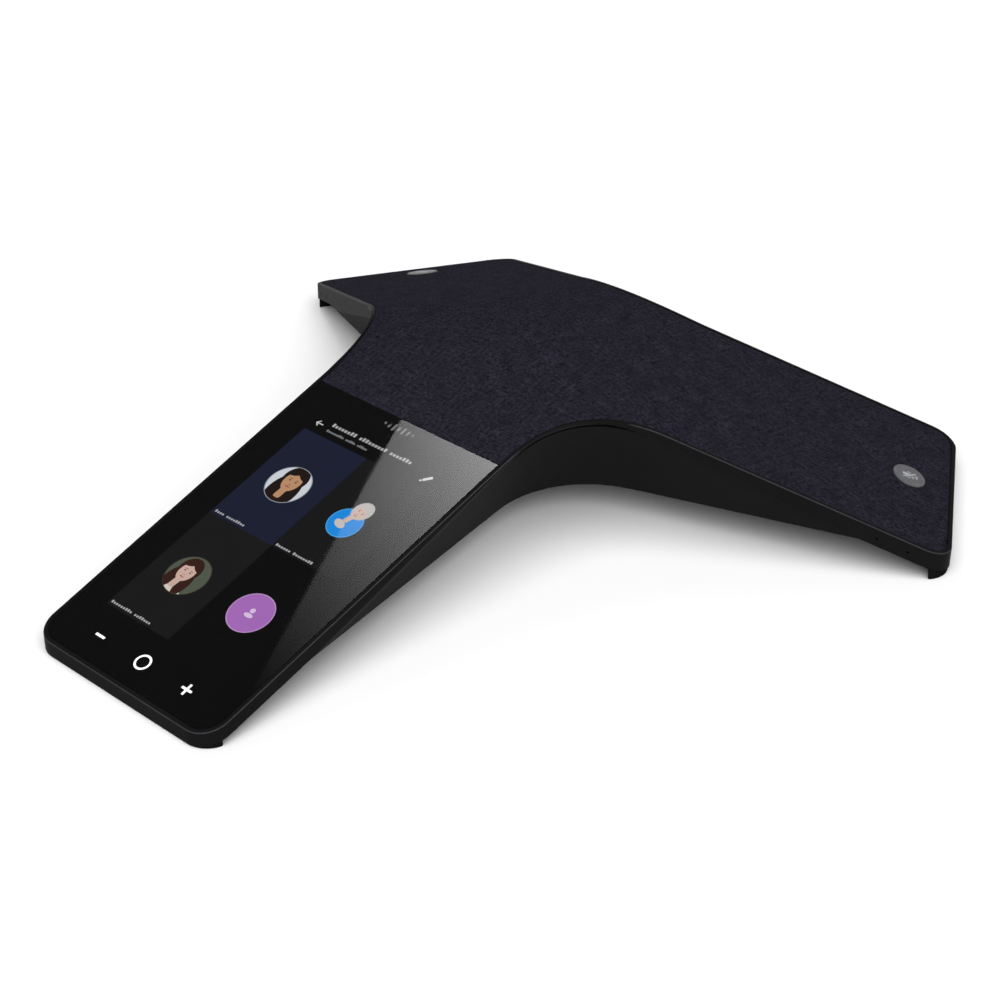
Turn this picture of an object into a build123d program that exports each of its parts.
from build123d import *
import os
from collections import namedtuple
from math import cos, radians, sin

# A three-armed conference telephone: a low Y-shaped pyramid that stands on its three arm tips.
# Millimetres, +Z up, the display arm points to -Y. The origin is on the table, under the middle of
# the outline.

# ---- driving dimensions ----
HUB = Vector(0, 39.6, 0)        # where the three arms meet, seen from above
TIP_RADIUS = 9.5                # plan corners at the arm tips
VALLEY_RADIUS = 60.0            # plan arcs between two arms
RIDGE_RADIUS = 93.0             # rounding where two sloping arm tops meet

# heading in degrees from -Y, length from the hub, slope of the top, height of the top at the tip,
# height of the side wall, half the width at the tip, and how much wider each side gets per mm inwards
Arm = namedtuple("Arm", "heading length slope tip_top band tip_half flare")
FRONT = Arm(0.0, 194.2, 0.3065, 5.8, 5.4, 43.4, 0.0115)
RIGHT = Arm(121.0, 160.0, 0.375, 9.1, 7.1, 44.0, 0.0)
LEFT = Arm(239.0, 160.0, 0.375, 9.1, 7.1, 44.0, 0.0)
ARMS = [FRONT, RIGHT, LEFT]

BELLY_Z = 14.0                  # flat underside of the hub, in the air
FLANK_FOOT = (58.0, 30.0)       # a point on the flank's lower edge: along the arm, across the arm
FLANK_LEAN = 0.453              # outward lean of the flanks, per mm of height
FLANK_CORNER = 43.0             # rounding of the flanks in the valleys

FRAME_WALL = 1.6
RIM_RADIUS = 0.5
COVER_WALL = 1.5
SEAT_INSET = 1.8                # glass and fabric lie this far inside the frame's outer face
LEDGE_INSET = 4.0
FABRIC = 0.8
GRILLE_TOP, GRILLE_BOTTOM = 0.85, 2.35      # depths under the top surface
LEDGE_TOP, LEDGE_BOTTOM = 2.4, 3.4
GLASS = 1.1
GLASS_REACH = 60.7              # the glass ends this far in front of the hub
SEAM = 0.3                      # gap between glass and fabric

PORT_WALL = 38.0                # outer face of the socket wall, behind the hub
PORT_HALF_WIDTH = 29.0
PORT_CEILING = 36.0
BOARD_BOTTOM, BOARD_TOP = 19.0, 20.6
RJ45_X, USB_A_X, USB_C_X = -16.0, 4.25, 20.5                # middles of the sockets
RJ45_Z, USB_A_Z, USB_C_Z = BOARD_TOP + 6.95, BOARD_TOP + 3.7, BOARD_TOP + 1.85

FOOT_REACH = (0.5, 7.2)         # where the feet start and end, inwards from the arm's tip
FOOT_HALF_WIDTH = 43.0

LCD_MIDDLE, LCD_LENGTH, LCD_WIDTH = 75.4, 117.8, 65.5       # middle up the slope from the tip
KEY_UP_SLOPE, KEY_SPACING = 10.8, 21.5

EAR_REACH, EAR_TOP = 41.0, 48.4                             # screw ears of the speaker box
BASKET_TOP = 50.3

SCREW_SPOTS = [(RIGHT, 100.0, 0.0), (RIGHT, 56.0, 0.0), (LEFT, 100.0, 0.0), (LEFT, 56.0, 0.0),
               (FRONT, 50.0, 16.0), (FRONT, 50.0, -16.0)]
STANDOFF_SPOTS = [(22.0, -38.0), (-22.0, -38.0), (33.0, 19.0), (-33.0, 19.0)]
SCREW_R, PILOT_R, CLEAR_R = 1.45, 1.5, 1.7

BUTTON_R, BUTTON_GAP, BUTTON_PROUD, BUTTON_FLANGE_R = 6.3, 0.3, 0.35, 7.8
BUTTON_FROM_TIP = 18.0
MIC_FROM_TIP = {FRONT: (19.7, 30.8), RIGHT: (15.2, 26.2), LEFT: (15.2, 26.2)}
FLOOR_UP = (Align.CENTER, Align.CENTER, Align.MIN)
HANG_DOWN = (Align.CENTER, Align.CENTER, Align.MAX)


# ---- helpers: directions, planes and the nested body shapes ----
def along(arm):
    """Unit vector from the hub towards the arm's tip."""
    return Vector(sin(radians(arm.heading)), -cos(radians(arm.heading)), 0)


def across(arm):
    """Unit vector across the arm, a quarter turn anticlockwise from along()."""
    return Vector(cos(radians(arm.heading)), sin(radians(arm.heading)), 0)


def spot(arm, out, side, z=0.0):
    """A point given along and across an arm from the hub."""
    return HUB + along(arm) * out + across(arm) * side + Vector(0, 0, z)


def top_plane(arm, drop=0.0):
    """The arm's sloping top: origin at the tip, X across, Y up the slope, Z out of the surface."""
    normal = along(arm) * arm.slope + Vector(0, 0, 1)
    return Plane(origin=spot(arm, arm.length, 0, arm.tip_top - drop), x_dir=across(arm), z_dir=normal)


def on_arm(arm, side, up_slope, depth):
    """Location on an arm's top surface, sunk by depth."""
    return top_plane(arm).location * Pos(side, up_slope, -depth)


def half_space(plane):
    """Everything on the plane's normal side, as a very large box."""
    return plane.location * Box(1200, 1200, 500, align=FLOOR_UP)


def slab(z_low, z_high):
    return Pos(HUB.X, HUB.Y, z_low) * Box(900, 900, z_high - z_low, align=FLOOR_UP)


def half_width(arm, out):
    return arm.tip_half + arm.flare * (arm.length - out)


def side_line(arm, side, inset):
    """An arm's straight side, moved inwards: its point at the tip, and its point level with the hub."""
    return [spot(arm, out, side * (half_width(arm, out) - inset)) for out in (arm.length - inset, 0)]


def crossing(line, other):
    """Where two lines cross, seen from above."""
    run, other_run, gap = line[1] - line[0], other[1] - other[0], other[0] - line[0]
    share = gap.cross(other_run).Z / run.cross(other_run).Z
    return line[0] + run * share


def y_plan(inset):
    """The Y outline, moved inwards by inset."""
    points = []
    for arm, after in zip(ARMS, ARMS[1:] + ARMS[:1]):
        left, right = side_line(arm, -1, inset), side_line(arm, 1, inset)
        next_left = side_line(after, -1, inset)
        points += [left[0], right[0], crossing(right, next_left)]
    outline = make_face(Polyline(*[(p.X, p.Y) for p in points], close=True))
    tips = [v for v in outline.vertices() if (v.center() - HUB).length > 100]
    outline = fillet(tips, TIP_RADIUS - inset)
    valleys = [v for v in outline.vertices() if (v.center() - HUB).length < 60]
    return fillet(valleys, VALLEY_RADIUS + inset)


def y_prism(inset):
    return extrude(y_plan(inset), 120)


def under_planes(planes):
    """All that lies under every one of the planes."""
    block = Pos(HUB.X, HUB.Y, 0) * Box(800, 800, 400)
    for plane in planes:
        block -= half_space(plane)
    return block


def tent(depth):
    """All that lies under the rounded three-sided roof, sunk by depth along its normals."""
    block = under_planes([top_plane(arm).offset(-depth) for arm in ARMS])
    apex = block.vertices().sort_by(Axis.Z)[-1].center()
    ridges = [e for e in block.edges() if min((e @ 0 - apex).length, (e @ 1 - apex).length) < 0.01]
    return fillet(ridges, RIDGE_RADIUS - depth)


def roof_layer(inset, top, bottom):
    """A skin that follows the roof between two depths, inside the outline."""
    return (y_prism(inset) & tent(top)) - tent(bottom)


def flank_plane(arm, side):
    """The leaning flank on one side of an arm. It fades out where the belly meets the blade of the arm."""
    fade = arm.length - (BELLY_Z + arm.band - arm.tip_top) / arm.slope
    spread = (half_width(arm, fade) - FLANK_FOOT[1]) / (fade - FLANK_FOOT[0])
    normal = across(arm) * side - along(arm) * spread - Vector(0, 0, FLANK_LEAN)
    return Plane(origin=spot(arm, FLANK_FOOT[0], side * FLANK_FOOT[1], BELLY_Z), z_dir=normal)


def valley_cut(arm, after, inset):
    """The wedge that is cut away under the valley between two arms."""
    planes = [flank_plane(arm, 1).offset(-inset), flank_plane(after, -1).offset(-inset)]
    wedge = half_space(planes[0]) & half_space(planes[1])
    crease = [e for e in wedge.edges()
              if all(abs(p.to_local_coords(e @ 0.5).Z) < 0.001 for p in planes)]
    return fillet(crease, FLANK_CORNER + inset)


def rounded_rim(form, radius):
    """Rounds the edge where the roof meets the walls."""
    edges = [e for f in form.faces() if f.normal_at(f.center()).Z > 0.5 for e in f.edges()]
    return fillet([e for e in edges if sum(e.is_same(other) for other in edges) == 1], radius)


def body(wall_inset, inset, depth, rim_radius=0):
    """The whole outer form, moved inwards by its own amount at the walls, the underside and the roof."""
    form = y_prism(wall_inset) & tent(depth)
    if rim_radius:
        form = rounded_rim(form, rim_radius)
    blade_undersides = [top_plane(arm, arm.band).offset(inset) for arm in ARMS]
    form -= under_planes(blade_undersides) & slab(-200, BELLY_Z + inset)
    for arm, after in zip(ARMS, ARMS[1:] + ARMS[:1]):
        form -= valley_cut(arm, after, inset)
    return form


def port_recess(grow):
    """The notch under the rear overhang where the plugs go in."""
    width = 2 * (PORT_HALF_WIDTH + grow)
    notch = Pos(0, HUB.Y + PORT_WALL - grow, 0) * Box(
        width, 90, PORT_CEILING + grow, align=(Align.CENTER, Align.MIN, Align.MIN))
    return fillet(notch.edges().filter_by(Axis.Z).sort_by(Axis.Y)[:2], 4.0 + grow)


def front_part(gap):
    """All that lies in front of the glass's rear edge, or of a line behind it by gap."""
    return Pos(0, HUB.Y - GLASS_REACH + gap, -100) * Box(
        400, 400, 300, align=(Align.CENTER, Align.MAX, Align.MIN))


def mic_holes():
    """Sound holes through the side walls, two on each side of each arm."""
    drills = []
    for arm, below_top in ((FRONT, 3.3), (RIGHT, 4.3), (LEFT, 4.3)):
        for inwards in MIC_FROM_TIP[arm]:
            height = arm.tip_top + arm.slope * inwards - below_top
            drill = Plane(origin=spot(arm, arm.length - inwards, 0, height), z_dir=across(arm))
            drills.append(drill.location * Cylinder(0.6, 2 * arm.tip_half + 5))
    return drills


def sheet_strip(plane, points, thickness, width):
    """A thin bent strip: its side profile is drawn on the plane and extruded to both sides."""
    lifted = [(x, y + thickness) for x, y in reversed(points)]
    profile = plane * make_face(Polyline(*points, *lifted, close=True))
    return extrude(profile, width / 2, both=True)


def side_plane(arm, side=0.0):
    """The upright plane along an arm: X from the hub outwards, Y up."""
    return Plane(origin=spot(arm, 0, side), x_dir=along(arm), z_dir=along(arm).cross(Vector(0, 0, 1)))


def button_stack(arm, radius, top, bottom):
    """A disc on the mute button's axis between two depths."""
    return on_arm(arm, 0, BUTTON_FROM_TIP, bottom) * Cylinder(radius, bottom - top, align=FLOOR_UP)


def hub_turned(points):
    """A closed profile of (radius, z) points, turned about the hub's upright axis."""
    profile = Plane(origin=HUB, x_dir=(1, 0, 0), z_dir=(0, -1, 0)) * make_face(Polyline(*points, close=True))
    return revolve(profile, axis=Axis((HUB.X, HUB.Y, 0), (0, 0, 1)))


# ---- housing: frame, cover, grille, fabric ----
def housing_frame():
    ring = body(0, 0, 0, RIM_RADIUS) - y_prism(FRAME_WALL)
    rear_ledge = roof_layer(FRAME_WALL - 0.1, LEDGE_TOP, LEDGE_BOTTOM) - y_prism(LEDGE_INSET)
    rear_ledge -= front_part(SEAM)
    front_ledge = roof_layer(FRAME_WALL - 0.1, GLASS + 0.05, GLASS + 1.05) - y_prism(LEDGE_INSET)
    front_ledge &= front_part(0)
    frame = ring + (rear_ledge & body(0, 1.0, 0)) + (front_ledge & body(0, 1.0, 0))
    return frame - mic_holes()


def screw_cup(place):
    """A pocket in the cover's floor for a screw head, with its clearance hole."""
    cup = Pos(place.X, place.Y, BELLY_Z + 0.5) * Cylinder(4.8, 4.1, align=FLOOR_UP)
    recess = Pos(place.X, place.Y, BELLY_Z - 1) * Cylinder(3.1, 3.8, align=FLOOR_UP)
    hole = Pos(place.X, place.Y, BELLY_Z) * Cylinder(CLEAR_R, 6, align=FLOOR_UP)
    return cup, recess + hole


def socket_windows():
    """Openings in the socket wall: the network socket, then the two smaller sockets."""
    windows = []
    sockets = ((RJ45_X, RJ45_Z, 16.4, 13.9), (USB_A_X, USB_A_Z, 14.9, 7.4), (USB_C_X, USB_C_Z, 9.3, 3.6))
    for x, z, width, height in sockets:
        windows.append(Pos(x, HUB.Y + PORT_WALL - 1, z) * Box(width, 5, height))
    return windows


def bottom_cover():
    outer = body(FRAME_WALL + 0.05, 0, LEDGE_BOTTOM + 0.2) - port_recess(0)
    cavity = body(FRAME_WALL + COVER_WALL, COVER_WALL, 0) - port_recess(COVER_WALL)
    cover = outer - cavity
    for arm, out, side in SCREW_SPOTS:
        cup, drill = screw_cup(spot(arm, out, side))
        cover = cover + cup - drill
    for x, y in STANDOFF_SPOTS:
        place = Pos(HUB.X + x, HUB.Y + y, BELLY_Z + 0.5)
        cover += place * Cylinder(3.0, BOARD_BOTTOM - BELLY_Z - 0.5, align=FLOOR_UP)
        cover -= place * Pos(0, 0, 1.5) * Cylinder(1.05, 10, align=FLOOR_UP)
    return cover - socket_windows() - mic_holes()


def speaker_grille():
    """The perforated carrier panel under the fabric, with the screw bosses that hang from it."""
    panel = roof_layer(SEAT_INSET + 0.1, GRILLE_TOP, GRILLE_BOTTOM) - front_part(SEAM + 0.1)
    pitch = 6.5
    holes = []
    for row in range(-5, 6):
        for column in range(-5, 6):
            x, y = (column + row % 2 / 2) * pitch, row * pitch * 0.866
            if (x * x + y * y) ** 0.5 < 27.5:
                holes.append(Pos(HUB.X + x, HUB.Y + y, 40) * Cylinder(2.0, 40, align=FLOOR_UP))
    panel -= holes
    under_roof = tent(GRILLE_BOTTOM - 0.3)
    for arm, out, side in SCREW_SPOTS:
        place = spot(arm, out, side)
        boss = Pos(place.X, place.Y, BELLY_Z + 4.7) * Cylinder(3.5, 60, align=FLOOR_UP)
        bore = Pos(place.X, place.Y, BELLY_Z + 4.6) * Cylinder(PILOT_R, 10.5, align=FLOOR_UP)
        panel = panel + (boss & under_roof) - bore
    for arm in ARMS:
        place = spot(arm, EAR_REACH, 0)
        boss = Pos(place.X, place.Y, EAR_TOP + 0.1) * Cylinder(2.8, 30, align=FLOOR_UP)
        bore = Pos(place.X, place.Y, EAR_TOP) * Cylinder(1.05, 2.9, align=FLOOR_UP)
        panel = panel + (boss & under_roof) - bore
    for arm in (RIGHT, LEFT):
        panel -= button_stack(arm, BUTTON_R + BUTTON_GAP, -2, 6)
    return panel


def fabric_cover():
    cloth = roof_layer(SEAT_INSET, 0, FABRIC) - front_part(SEAM)
    for arm in (RIGHT, LEFT):
        cloth -= button_stack(arm, BUTTON_R + BUTTON_GAP, -2, 6)
    return cloth


def foot(arm):
    """A rubber bar across the arm's tip, flat on the table, with its lower edges broken."""
    def underside(inwards):
        return arm.tip_top - arm.band + arm.slope * inwards
    outer, inner = FOOT_REACH
    profile = [(outer, underside(outer)), (outer, 0.25), (outer + 0.25, 0), (inner - 0.4, 0), (inner, 0.4),
               (inner, underside(inner))]
    points = [(arm.length - inwards, z) for inwards, z in profile]
    bar = extrude(side_plane(arm) * make_face(Polyline(*points, close=True)), FOOT_HALF_WIDTH, both=True)
    return bar & y_prism(outer)


# ---- display and touch keys, in the front arm ----
def touch_glass():
    return roof_layer(SEAT_INSET, 0, GLASS) & front_part(0)


def lcd_panel():
    return on_arm(FRONT, 0, LCD_MIDDLE, 1.15) * Box(LCD_WIDTH, LCD_LENGTH, 2.0, align=HANG_DOWN)


def display_bracket():
    place = on_arm(FRONT, 0, LCD_MIDDLE, 3.2)
    sheet = place * Box(LCD_WIDTH + 2, LCD_LENGTH + 2, 0.4, align=HANG_DOWN)
    for up_slope in (-28.0, 28.0):
        sheet -= place * Pos(0, up_slope, 0) * Box(44, 36, 3)
    return sheet


def key_board():
    return on_arm(FRONT, 0, KEY_UP_SLOPE, 1.9) * Box(60, 9, 0.6, align=HANG_DOWN)


def key_lights():
    light = Box(3.2, 1.6, 0.6, align=HANG_DOWN)
    return [on_arm(FRONT, side, KEY_UP_SLOPE, 1.25) * light for side in (-KEY_SPACING, 0, KEY_SPACING)]


def display_flex():
    points = [(82, 36.2), (66, 24.0), (50, 20.9), (38, 20.9)]
    return sheet_strip(side_plane(FRONT), points, 0.3, 16.0)


# ---- loudspeaker, over the hub ----
def speaker_basket():
    cup = hub_turned([(33, 50.3), (33, 48.6), (27, 48.6), (17, 42.4), (10, 42.4), (10, 43.4),
                      (16.6, 43.4), (26, 49.4), (29, 49.4), (29, 50.3)])
    window = Pos(21.5, 0, 45.4) * Box(7, 15, 9)
    windows = [Pos(HUB.X, HUB.Y, 0) * Rot(0, 0, 90 * turn) * window for turn in range(4)]
    return cup - windows


def speaker_magnet():
    return hub_turned([(0, 37.0), (14, 37.0), (14, 42.35), (8.6, 42.35), (8.6, 38.4), (7.4, 38.4),
                       (7.4, 43.6), (0, 43.6)])


def speaker_cone():
    return hub_turned([(7.75, 39.2), (8.05, 39.2), (8.05, 44.4), (25.6, 49.9), (25.4, 50.2), (7.75, 44.7)])


def dust_cap():
    cap = Pos(HUB.X, HUB.Y, 36.6) * Sphere(12.4) - Pos(HUB.X, HUB.Y, 36.6) * Sphere(12.0)
    return cap & (Pos(HUB.X, HUB.Y, 46.9) * Cylinder(7.0, 10, align=FLOOR_UP))


def speaker_surround():
    roll = Pos(HUB.X, HUB.Y, 50.35) * (Torus(27.6, 1.8) - Torus(27.6, 1.4))
    return roll & slab(50.35, 60)


def speaker_gasket():
    ring = hub_turned([(30.2, BASKET_TOP + 0.05), (33, BASKET_TOP + 0.05), (33, 62), (30.2, 62)])
    return ring & tent(GRILLE_BOTTOM + 0.05)


def speaker_enclosure():
    bowl = hub_turned([(0, 35.0), (34, 35.0), (36, 37.0), (36, 48.4), (33.2, 48.4), (33.2, 46.9),
                       (34.4, 46.9), (34.4, 37.7), (33.3, 36.6), (0, 36.6)])
    for arm in ARMS:
        place = Plane(origin=spot(arm, 35.5, 0, EAR_TOP), x_dir=along(arm), z_dir=(0, 0, 1)).location
        ear = place * Box(9.5, 8, 2.0, align=(Align.MIN, Align.CENTER, Align.MAX))
        bowl = bowl + ear - place * Pos(EAR_REACH - 35.5, 0, 0) * Cylinder(1.4, 8)
    return bowl


# ---- electronics on the cover's floor ----
def main_board():
    board = slab(BOARD_BOTTOM, BOARD_TOP) & body(8.0, 3.6, 0)
    board &= Pos(HUB.X, HUB.Y - 4.25, 0) * Box(84, 79.5, 100)
    for x, y in STANDOFF_SPOTS:
        board -= Pos(HUB.X + x, HUB.Y + y, BOARD_TOP) * Cylinder(1.4, 8)
    return board


def board_chips():
    """Processor, memory, power chips and two tall capacitors on the main board."""
    chips = [(-5, -22, 13, 13, 1.4), (8.5, -21, 8, 11, 1.2), (24, -4, 7, 7, 1.3), (-26, -6, 9, 6, 1.5),
             (20, 6, 5, 6, 1.2)]
    blocks = [Pos(HUB.X + x, HUB.Y + y, BOARD_TOP) * Box(w, d, h, align=FLOOR_UP) for x, y, w, d, h in chips]
    cans = [Pos(HUB.X + x, HUB.Y - 8, BOARD_TOP) * Cylinder(3.1, 7.5, align=FLOOR_UP) for x in (-36, 34)]
    return blocks + cans


def shield_can():
    place = Pos(HUB.X, HUB.Y - 21.5, BOARD_TOP)
    can = place * Box(29, 20, 2.8, align=FLOOR_UP)
    return can - place * Box(28.2, 19.2, 2.4, align=FLOOR_UP)


def ethernet_jack():
    place = Pos(RJ45_X, HUB.Y + PORT_WALL, BOARD_TOP)
    block = place * Box(16, 21, 13.5, align=(Align.CENTER, Align.MAX, Align.MIN))
    mouth = place * Pos(0, 1, 4.2) * Box(11.9, 15, 7.0, align=(Align.CENTER, Align.MAX, Align.MIN))
    latch = place * Pos(0, 1, 2.4) * Box(6.2, 15, 1.9, align=(Align.CENTER, Align.MAX, Align.MIN))
    contacts = []
    for pin in range(8):
        strip = place * Pos((pin - 3.5) * 1.02, -2.2, 10.2) * Rot(22, 0, 0) * Box(0.4, 9.5, 0.3)
        contacts.append(strip & block)
    return block - mouth - latch + contacts


def usb_a_port():
    place = Pos(USB_A_X, HUB.Y + PORT_WALL, BOARD_TOP + 0.2)
    shell = place * Box(14.5, 14, 7.0, align=(Align.CENTER, Align.MAX, Align.MIN))
    shell -= place * Pos(0, 1, 0.9) * Box(12.5, 13, 5.2, align=(Align.CENTER, Align.MAX, Align.MIN))
    tongue = place * Pos(0, -1.2, 3.6) * Box(11.1, 11.5, 1.8, align=(Align.CENTER, Align.MAX, Align.MIN))
    return shell + tongue


def usb_c_port():
    place = Pos(USB_C_X, HUB.Y + PORT_WALL, USB_C_Z) * Rot(90, 0, 0)
    outer = extrude(place * SlotOverall(8.94, 3.26), 7.5)
    inner = extrude(place * Pos(0, 0, -1) * SlotOverall(8.34, 2.56), 7.5)
    tongue = Pos(USB_C_X, HUB.Y + PORT_WALL - 0.7, USB_C_Z) * Box(
        6.7, 6.6, 0.7, align=(Align.CENTER, Align.MAX, Align.CENTER))
    return outer - inner + tongue


def wifi_antennas():
    return [Pos(spot(arm, 82, side, BELLY_Z + COVER_WALL + 0.05)) * Rot(0, 0, arm.heading) *
            Box(7, 34, 0.6, align=FLOOR_UP) for arm, side in ((RIGHT, -19), (LEFT, 19))]


# ---- microphones and mute buttons, near the arm tips ----
def rear_arm_board(arm):
    return on_arm(arm, 0, 21, 4.15) * Box(78, 22, 0.7, align=HANG_DOWN)


def front_mic_boards():
    return [on_arm(FRONT, side, 25.2, 3.0) * Box(5.4, 20, 0.6, align=HANG_DOWN) for side in (-37, 37)]


def mic_capsules():
    """Four small microphone capsules in each arm, each behind a sound hole."""
    capsules = []
    for arm, depth in ((FRONT, 2.95), (RIGHT, 4.1), (LEFT, 4.1)):
        for inwards in MIC_FROM_TIP[arm]:
            up_slope = inwards * (1 + arm.slope ** 2) ** 0.5
            for side in (-38.5, 38.5):
                capsules.append(on_arm(arm, side, up_slope, depth) * Box(1.6, 3.0, 0.95, align=FLOOR_UP))
    return capsules


def mute_button(arm):
    """A round cap through the fabric, held from below by its flange."""
    cap = button_stack(arm, BUTTON_R, -BUTTON_PROUD, 2.6)
    cap = fillet(cap.edges().sort_by(Axis.Z)[-1], 0.3)
    flange = button_stack(arm, BUTTON_FLANGE_R, 2.5, 3.1)
    stem = button_stack(arm, 1.6, 3.0, 3.2)
    return cap + flange + stem


def mute_domes():
    """The click domes under the two mute buttons."""
    return [button_stack(arm, 2.5, 3.95, 4.1) + button_stack(arm, 1.6, 3.75, 4.0) for arm in (RIGHT, LEFT)]


def arm_flexes():
    """Flat cables from the two rear arm boards along the floor to the main board."""
    points = [(44, 20.75), (54, 20.75), (64, 15.7), (122, 15.7), (129, 16.9)]
    return [sheet_strip(side_plane(arm, side), points, 0.3, 8.0) for arm, side in ((RIGHT, 12), (LEFT, -12))]


# ---- fasteners ----
def screw(x, y, head_z, head_r, head_h, shank_r, shank_h):
    """A pan-head screw that points up, with a cross recess in its head."""
    head = Pos(x, y, head_z) * Cylinder(head_r, head_h, align=HANG_DOWN)
    cross = Pos(x, y, head_z - head_h) * (Box(0.9, 1.3 * head_r, 1.6) + Box(1.3 * head_r, 0.9, 1.6))
    return head - cross + Pos(x, y, head_z) * Cylinder(shank_r, shank_h, align=FLOOR_UP)


def base_screws():
    places = [spot(arm, out, side) for arm, out, side in SCREW_SPOTS]
    return [screw(p.X, p.Y, BELLY_Z + 2.8, 2.8, 2.0, SCREW_R, 11.0) for p in places]


def board_screws():
    screws = []
    for x, y in STANDOFF_SPOTS:
        place = Pos(HUB.X + x, HUB.Y + y, BOARD_TOP)
        head = place * Cylinder(2.2, 1.5, align=FLOOR_UP) - place * Pos(0, 0, 1.5) * Box(0.6, 3, 1)
        screws.append(head + place * Cylinder(1.0, 4.4, align=HANG_DOWN))
    return screws


def speaker_screws():
    places = [spot(arm, EAR_REACH, 0) for arm in ARMS]
    return [screw(p.X, p.Y, EAR_TOP - 2.0, 2.0, 1.5, 1.0, 4.7) for p in places]


# ---- write one file per part ----
PARTS = {
    "housing_frame": housing_frame(),
    "bottom_cover": bottom_cover(),
    "speaker_grille": speaker_grille(),
    "fabric_cover": fabric_cover(),
    "foot_front": foot(FRONT),
    "foot_right": foot(RIGHT),
    "foot_left": foot(LEFT),
    "touch_glass": touch_glass(),
    "lcd_panel": lcd_panel(),
    "display_bracket": display_bracket(),
    "key_board": key_board(),
    "key_lights": key_lights(),
    "display_flex": display_flex(),
    "speaker_basket": speaker_basket(),
    "speaker_magnet": speaker_magnet(),
    "speaker_cone": speaker_cone(),
    "dust_cap": dust_cap(),
    "speaker_surround": speaker_surround(),
    "speaker_gasket": speaker_gasket(),
    "speaker_enclosure": speaker_enclosure(),
    "main_board": main_board(),
    "board_chips": board_chips(),
    "shield_can": shield_can(),
    "ethernet_jack": ethernet_jack(),
    "usb_a_port": usb_a_port(),
    "usb_c_port": usb_c_port(),
    "wifi_antennas": wifi_antennas(),
    "arm_board_right": rear_arm_board(RIGHT),
    "arm_board_left": rear_arm_board(LEFT),
    "front_mic_boards": front_mic_boards(),
    "mic_capsules": mic_capsules(),
    "mute_button_right": mute_button(RIGHT),
    "mute_button_left": mute_button(LEFT),
    "mute_domes": mute_domes(),
    "arm_flexes": arm_flexes(),
    "base_screws": base_screws(),
    "board_screws": board_screws(),
    "speaker_screws": speaker_screws(),
}

os.makedirs("parts", exist_ok=True)
for name, shape in PARTS.items():
    solids = shape if isinstance(shape, list) else [shape]
    solids = [solid for piece in solids for solid in piece.solids()]
    export_step(solids[0] if len(solids) == 1 else Compound(children=solids), f"parts/{name}.step")
